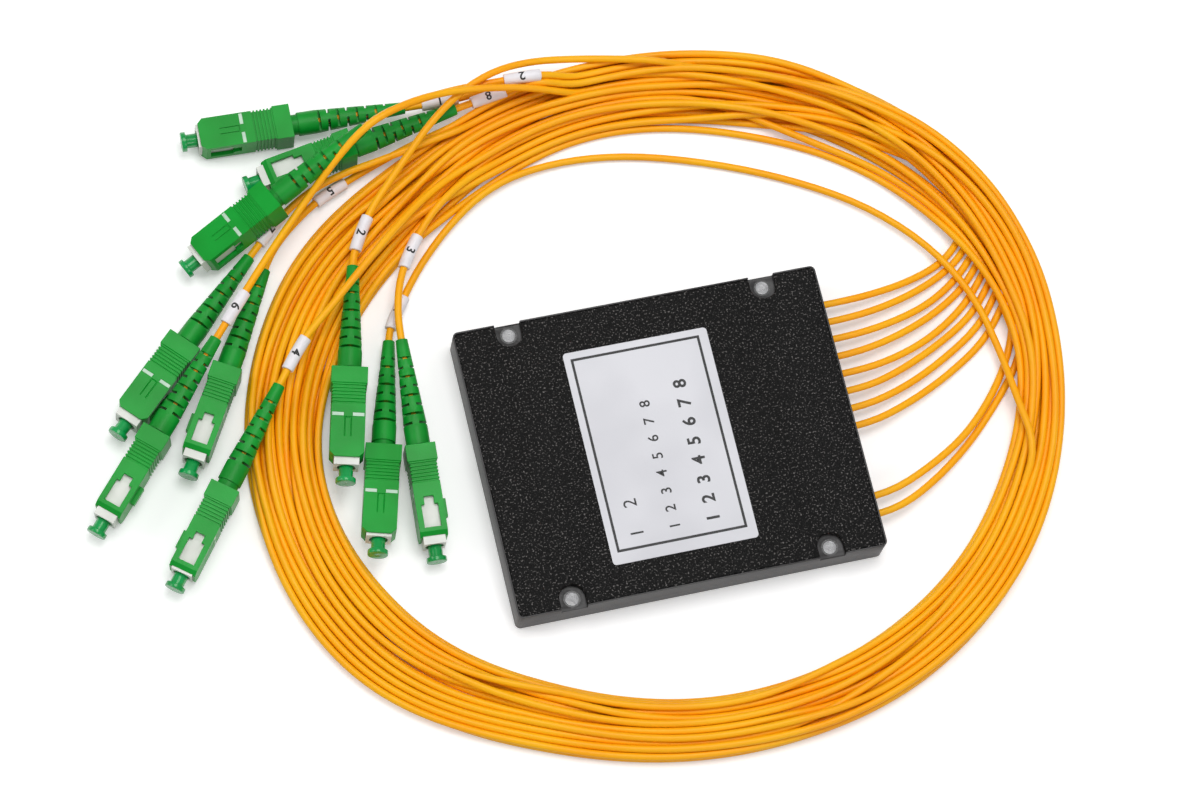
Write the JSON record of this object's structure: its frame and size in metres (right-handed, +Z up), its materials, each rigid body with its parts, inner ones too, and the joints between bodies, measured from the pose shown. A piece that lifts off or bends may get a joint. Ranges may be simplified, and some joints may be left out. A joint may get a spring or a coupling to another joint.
{
  "type": "fibre optic splitter module",
  "caption": "Flat black splitter case with thin orange fibre cords laid round it in a loose ring, each ending in a green square push-pull connector with a dust cap.",
  "frame": {"origin": "centre of the case's underside", "axes": "+X towards the side where the cords leave the case, +Y along its short sides, +Z up out of the labelled face"},
  "size_m": [0.2672, 0.1984, 0.0192],
  "materials": {
    "case_plastic": "smooth moulded dark grey",
    "cover_plastic": "near-black pebbled texture with fine pale speckle",
    "label": "pale grey sticker with a thin black border and no print",
    "bush_metal": "bright turned metal",
    "chip_steel": "plain",
    "bare_fibre": "white buffer",
    "cord_jacket": "satin orange-yellow jacket",
    "boot_rubber": "satin green",
    "sleeve_plastic": "satin green with two pale stripes",
    "frame_plastic": "off-white",
    "ferrule_ceramic": "polished white ceramic",
    "spring_steel": "plain wire",
    "cap_plastic": "slightly see-through green",
    "marker_sleeve": "off-white printed sleeve"
  },
  "bodies": {
    "module": {"case_base": "case_plastic", "case_cover": "cover_plastic", "connector_boots": "boot_rubber", "cord_coil": "cord_jacket", "cord_in_1": "cord_jacket", "cord_in_2": "cord_jacket", "cord_markers": "marker_sleeve", "cord_out_1": "cord_jacket", "cord_out_2": "cord_jacket", "cord_out_3": "cord_jacket", "cord_out_4": "cord_jacket", "cord_out_5": "cord_jacket", "cord_out_6": "cord_jacket", "cord_out_7": "cord_jacket", "cord_out_8": "cord_jacket", "corner_bushes": "bush_metal", "cover_label": "label", "ferrule_spring_in_1": "spring_steel", "ferrule_spring_in_2": "spring_steel", "ferrule_spring_out_1": "spring_steel", "ferrule_spring_out_2": "spring_steel", "ferrule_spring_out_3": "spring_steel", "ferrule_spring_out_4": "spring_steel", "ferrule_spring_out_5": "spring_steel", "ferrule_spring_out_6": "spring_steel", "ferrule_spring_out_7": "spring_steel", "ferrule_spring_out_8": "spring_steel", "inner_fibres": "bare_fibre", "plug_frames": "frame_plastic", "splitter_chip": "chip_steel"},
    "sleeve_in_1": {"sleeve_in_1": "sleeve_plastic"},
    "cap_in_1": {"dust_cap_in_1": "cap_plastic"},
    "ferrule_in_1": {"ferrule_in_1": "ferrule_ceramic"},
    "sleeve_in_2": {"sleeve_in_2": "sleeve_plastic"},
    "cap_in_2": {"dust_cap_in_2": "cap_plastic"},
    "ferrule_in_2": {"ferrule_in_2": "ferrule_ceramic"},
    "sleeve_out_1": {"sleeve_out_1": "sleeve_plastic"},
    "cap_out_1": {"dust_cap_out_1": "cap_plastic"},
    "ferrule_out_1": {"ferrule_out_1": "ferrule_ceramic"},
    "sleeve_out_2": {"sleeve_out_2": "sleeve_plastic"},
    "cap_out_2": {"dust_cap_out_2": "cap_plastic"},
    "ferrule_out_2": {"ferrule_out_2": "ferrule_ceramic"},
    "sleeve_out_3": {"sleeve_out_3": "sleeve_plastic"},
    "cap_out_3": {"dust_cap_out_3": "cap_plastic"},
    "ferrule_out_3": {"ferrule_out_3": "ferrule_ceramic"},
    "sleeve_out_4": {"sleeve_out_4": "sleeve_plastic"},
    "cap_out_4": {"dust_cap_out_4": "cap_plastic"},
    "ferrule_out_4": {"ferrule_out_4": "ferrule_ceramic"},
    "sleeve_out_5": {"sleeve_out_5": "sleeve_plastic"},
    "cap_out_5": {"dust_cap_out_5": "cap_plastic"},
    "ferrule_out_5": {"ferrule_out_5": "ferrule_ceramic"},
    "sleeve_out_6": {"sleeve_out_6": "sleeve_plastic"},
    "cap_out_6": {"dust_cap_out_6": "cap_plastic"},
    "ferrule_out_6": {"ferrule_out_6": "ferrule_ceramic"},
    "sleeve_out_7": {"sleeve_out_7": "sleeve_plastic"},
    "cap_out_7": {"dust_cap_out_7": "cap_plastic"},
    "ferrule_out_7": {"ferrule_out_7": "ferrule_ceramic"},
    "sleeve_out_8": {"sleeve_out_8": "sleeve_plastic"},
    "cap_out_8": {"dust_cap_out_8": "cap_plastic"},
    "ferrule_out_8": {"ferrule_out_8": "ferrule_ceramic"}
  },
  "joints": [
    {"name": "sleeve_slide_in_1", "type": "slide", "parent": "module", "child": "sleeve_in_1", "axis": [0.9997, -0.0244, 0], "range_m": [-0.0002, 0.0016]},
    {"name": "cap_pull_in_1", "type": "slide", "parent": "module", "child": "cap_in_1", "axis": [-0.9997, 0.0244, 0], "range_m": [0, 0.0085]},
    {"name": "ferrule_float_in_1", "type": "slide", "parent": "module", "child": "ferrule_in_1", "axis": [0.9997, -0.0244, 0], "range_m": [0, 0.001], "stiffness_N_per_m": 3000, "springref_m": -0.003, "deforming": ["ferrule_spring_in_1"]},
    {"name": "sleeve_slide_in_2", "type": "slide", "parent": "module", "child": "sleeve_in_2", "axis": [0.8808, 0.4201, 0.2181], "range_m": [-0.0009, 0.0009]},
    {"name": "cap_pull_in_2", "type": "slide", "parent": "module", "child": "cap_in_2", "axis": [-0.8808, -0.4201, -0.2181], "range_m": [0, 0.0085]},
    {"name": "ferrule_float_in_2", "type": "slide", "parent": "module", "child": "ferrule_in_2", "axis": [0.8808, 0.4201, 0.2181], "range_m": [0, 0.001], "stiffness_N_per_m": 3000, "springref_m": -0.003, "deforming": ["ferrule_spring_in_2"]},
    {"name": "sleeve_slide_out_1", "type": "slide", "parent": "module", "child": "sleeve_out_1", "axis": [0.2644, 0.9598, -0.0941], "range_m": [-0.0003, 0.0015]},
    {"name": "cap_pull_out_1", "type": "slide", "parent": "module", "child": "cap_out_1", "axis": [-0.2644, -0.9598, 0.0941], "range_m": [0, 0.0085]},
    {"name": "ferrule_float_out_1", "type": "slide", "parent": "module", "child": "ferrule_out_1", "axis": [0.2644, 0.9598, -0.0941], "range_m": [0, 0.001], "stiffness_N_per_m": 3000, "springref_m": -0.003, "deforming": ["ferrule_spring_out_1"]},
    {"name": "sleeve_slide_out_2", "type": "slide", "parent": "module", "child": "sleeve_out_2", "axis": [0.2435, 0.9693, -0.0332], "range_m": [-0.0016, 0.0002]},
    {"name": "cap_pull_out_2", "type": "slide", "parent": "module", "child": "cap_out_2", "axis": [-0.2435, -0.9693, 0.0332], "range_m": [0, 0.0085]},
    {"name": "ferrule_float_out_2", "type": "slide", "parent": "module", "child": "ferrule_out_2", "axis": [0.2435, 0.9693, -0.0332], "range_m": [0, 0.001], "stiffness_N_per_m": 3000, "springref_m": -0.003, "deforming": ["ferrule_spring_out_2"]},
    {"name": "sleeve_slide_out_3", "type": "slide", "parent": "module", "child": "sleeve_out_3", "axis": [0.061, 0.9971, 0.0454], "range_m": [-0.0015, 0.0003]},
    {"name": "cap_pull_out_3", "type": "slide", "parent": "module", "child": "cap_out_3", "axis": [-0.061, -0.9971, -0.0454], "range_m": [0, 0.0085]},
    {"name": "ferrule_float_out_3", "type": "slide", "parent": "module", "child": "ferrule_out_3", "axis": [0.061, 0.9971, 0.0454], "range_m": [0, 0.001], "stiffness_N_per_m": 3000, "springref_m": -0.003, "deforming": ["ferrule_spring_out_3"]},
    {"name": "sleeve_slide_out_4", "type": "slide", "parent": "module", "child": "sleeve_out_4", "axis": [0.6169, 0.7839, 0.0698], "range_m": [0, 0.0018]},
    {"name": "cap_pull_out_4", "type": "slide", "parent": "module", "child": "cap_out_4", "axis": [-0.6169, -0.7839, -0.0698], "range_m": [0, 0.0085]},
    {"name": "ferrule_float_out_4", "type": "slide", "parent": "module", "child": "ferrule_out_4", "axis": [0.6169, 0.7839, 0.0698], "range_m": [0, 0.001], "stiffness_N_per_m": 3000, "springref_m": -0.003, "deforming": ["ferrule_spring_out_4"]},
    {"name": "sleeve_slide_out_5", "type": "slide", "parent": "module", "child": "sleeve_out_5", "axis": [0.5135, 0.8581, 0], "range_m": [-0.0015, 0.0003]},
    {"name": "cap_pull_out_5", "type": "slide", "parent": "module", "child": "cap_out_5", "axis": [-0.5135, -0.8581, 0], "range_m": [0, 0.0085]},
    {"name": "ferrule_float_out_5", "type": "slide", "parent": "module", "child": "ferrule_out_5", "axis": [0.5135, 0.8581, 0], "range_m": [0, 0.001], "stiffness_N_per_m": 3000, "springref_m": -0.003, "deforming": ["ferrule_spring_out_5"]},
    {"name": "sleeve_slide_out_6", "type": "slide", "parent": "module", "child": "sleeve_out_6", "axis": [0.6707, 0.737, 0.0837], "range_m": [-0.0015, 0.0003]},
    {"name": "cap_pull_out_6", "type": "slide", "parent": "module", "child": "cap_out_6", "axis": [-0.6707, -0.737, -0.0837], "range_m": [0, 0.0085]},
    {"name": "ferrule_float_out_6", "type": "slide", "parent": "module", "child": "ferrule_out_6", "axis": [0.6707, 0.737, 0.0837], "range_m": [0, 0.001], "stiffness_N_per_m": 3000, "springref_m": -0.003, "deforming": ["ferrule_spring_out_6"]},
    {"name": "sleeve_slide_out_7", "type": "slide", "parent": "module", "child": "sleeve_out_7", "axis": [0.7217, 0.6921, -0.0105], "range_m": [-0.0016, 0.0002]},
    {"name": "cap_pull_out_7", "type": "slide", "parent": "module", "child": "cap_out_7", "axis": [-0.7217, -0.6921, 0.0105], "range_m": [0, 0.0085]},
    {"name": "ferrule_float_out_7", "type": "slide", "parent": "module", "child": "ferrule_out_7", "axis": [0.7217, 0.6921, -0.0105], "range_m": [0, 0.001], "stiffness_N_per_m": 3000, "springref_m": -0.003, "deforming": ["ferrule_spring_out_7"]},
    {"name": "sleeve_slide_out_8", "type": "slide", "parent": "module", "child": "sleeve_out_8", "axis": [0.9844, 0.1736, 0.0279], "range_m": [-0.0012, 0.0006]},
    {"name": "cap_pull_out_8", "type": "slide", "parent": "module", "child": "cap_out_8", "axis": [-0.9844, -0.1736, -0.0279], "range_m": [0, 0.0085]},
    {"name": "ferrule_float_out_8", "type": "slide", "parent": "module", "child": "ferrule_out_8", "axis": [0.9844, 0.1736, 0.0279], "range_m": [0, 0.001], "stiffness_N_per_m": 3000, "springref_m": -0.003, "deforming": ["ferrule_spring_out_8"]}
  ]
}
